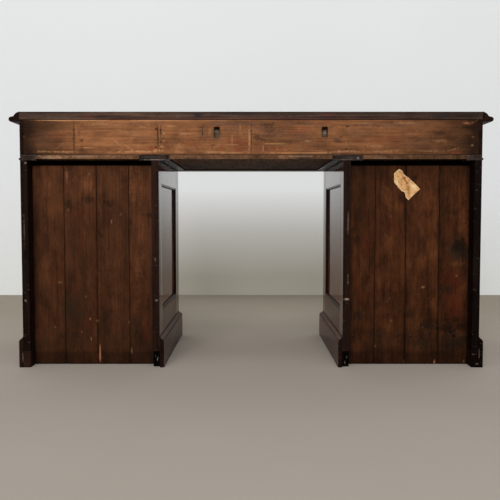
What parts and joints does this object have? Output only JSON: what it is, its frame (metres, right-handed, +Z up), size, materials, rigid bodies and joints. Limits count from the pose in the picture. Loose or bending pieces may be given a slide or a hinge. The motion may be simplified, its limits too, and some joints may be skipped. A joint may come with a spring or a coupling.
{
  "type": "pedestal desk",
  "caption": "Writing desk: a top case with frieze drawers on a pair of drawer pedestals, with framed and panelled sides, a moulded plinth and boarded backs.",
  "frame": {"origin": "on the floor, at the centre of the desk's bounding box", "axes": "+X along the desk, to the right of someone sitting at it; +Y from the drawers towards the boarded back; +Z up"},
  "size_m": [1.455, 0.592, 0.775],
  "materials": {
    "mahogany": "dark stained and polished mahogany",
    "stained_pine": "thinly stained pine, worn",
    "dark_pine": "dark stained pine boards, dull",
    "pine": "bare pine",
    "oak": "bare oak drawer linings",
    "leather": "smooth brown writing leather",
    "brass": "aged brass"
  },
  "bodies": {
    "case": {"top_slab": "mahogany", "top_edge_moulding": "mahogany", "right_frieze_end": "mahogany", "left_frieze_end": "mahogany", "frieze_front_rails": "mahogany", "frieze_cross_rails": "mahogany", "frieze_base_bead": "mahogany", "frieze_dividers": "pine", "frieze_dust_boards": "pine", "frieze_back_board": "stained_pine", "writing_leather": "leather", "right_inner_side_frame": "mahogany", "right_outer_side_frame": "mahogany", "right_side_panels": "mahogany", "right_panel_mouldings": "mahogany", "right_back_boards": "dark_pine", "right_carcase_boards": "pine", "right_drawer_rails": "mahogany", "right_plinth": "mahogany", "left_inner_side_frame": "mahogany", "left_outer_side_frame": "mahogany", "left_side_panels": "mahogany", "left_panel_mouldings": "mahogany", "left_back_boards": "dark_pine", "left_carcase_boards": "pine", "left_drawer_rails": "mahogany", "left_plinth": "mahogany"},
    "right_bottom_drawer": {"right_bottom_drawer_front": "mahogany", "right_bottom_drawer_box": "oak", "right_bottom_drawer_knobs": "mahogany"},
    "right_middle_drawer": {"right_middle_drawer_front": "mahogany", "right_middle_drawer_box": "oak", "right_middle_drawer_knobs": "mahogany"},
    "right_top_drawer": {"right_top_drawer_front": "mahogany", "right_top_drawer_box": "oak", "right_top_drawer_knobs": "mahogany"},
    "left_bottom_drawer": {"left_bottom_drawer_front": "mahogany", "left_bottom_drawer_box": "oak", "left_bottom_drawer_knobs": "mahogany"},
    "left_middle_drawer": {"left_middle_drawer_front": "mahogany", "left_middle_drawer_box": "oak", "left_middle_drawer_knobs": "mahogany"},
    "left_top_drawer": {"left_top_drawer_front": "mahogany", "left_top_drawer_box": "oak", "left_top_drawer_knobs": "mahogany"},
    "left_frieze_drawer": {"left_frieze_drawer_front": "mahogany", "left_frieze_drawer_box": "oak", "left_frieze_drawer_knobs": "mahogany", "left_frieze_drawer_lock": "brass"},
    "left_frieze_drawer_bolt": {"left_frieze_drawer_lock_bolt": "brass"},
    "centre_frieze_drawer": {"centre_frieze_drawer_front": "mahogany", "centre_frieze_drawer_box": "oak", "centre_frieze_drawer_knobs": "mahogany", "centre_frieze_drawer_lock": "brass"},
    "centre_frieze_drawer_bolt": {"centre_frieze_drawer_lock_bolt": "brass"},
    "right_frieze_drawer": {"right_frieze_drawer_front": "mahogany", "right_frieze_drawer_box": "oak", "right_frieze_drawer_knobs": "mahogany", "right_frieze_drawer_lock": "brass"},
    "right_frieze_drawer_bolt": {"right_frieze_drawer_lock_bolt": "brass"}
  },
  "joints": [
    {"name": "right_bottom_drawer_slide", "type": "slide", "parent": "case", "child": "right_bottom_drawer", "axis": [0, -1, 0], "range_m": [0, 0.41]},
    {"name": "right_middle_drawer_slide", "type": "slide", "parent": "case", "child": "right_middle_drawer", "axis": [0, -1, 0], "range_m": [0, 0.41]},
    {"name": "right_top_drawer_slide", "type": "slide", "parent": "case", "child": "right_top_drawer", "axis": [0, -1, 0], "range_m": [0, 0.41]},
    {"name": "left_bottom_drawer_slide", "type": "slide", "parent": "case", "child": "left_bottom_drawer", "axis": [0, -1, 0], "range_m": [0, 0.41]},
    {"name": "left_middle_drawer_slide", "type": "slide", "parent": "case", "child": "left_middle_drawer", "axis": [0, -1, 0], "range_m": [0, 0.41]},
    {"name": "left_top_drawer_slide", "type": "slide", "parent": "case", "child": "left_top_drawer", "axis": [0, -1, 0], "range_m": [0, 0.41]},
    {"name": "left_frieze_drawer_slide", "type": "slide", "parent": "case", "child": "left_frieze_drawer", "axis": [0, -1, 0], "range_m": [0, 0.44]},
    {"name": "left_frieze_drawer_bolt_slide", "type": "slide", "parent": "left_frieze_drawer", "child": "left_frieze_drawer_bolt", "axis": [0, 0, 1], "range_m": [0, 0.007]},
    {"name": "centre_frieze_drawer_slide", "type": "slide", "parent": "case", "child": "centre_frieze_drawer", "axis": [0, -1, 0], "range_m": [0, 0.44]},
    {"name": "centre_frieze_drawer_bolt_slide", "type": "slide", "parent": "centre_frieze_drawer", "child": "centre_frieze_drawer_bolt", "axis": [0, 0, 1], "range_m": [0, 0.007]},
    {"name": "right_frieze_drawer_slide", "type": "slide", "parent": "case", "child": "right_frieze_drawer", "axis": [0, -1, 0], "range_m": [0, 0.44]},
    {"name": "right_frieze_drawer_bolt_slide", "type": "slide", "parent": "right_frieze_drawer", "child": "right_frieze_drawer_bolt", "axis": [0, 0, 1], "range_m": [0, 0.007]}
  ]
}
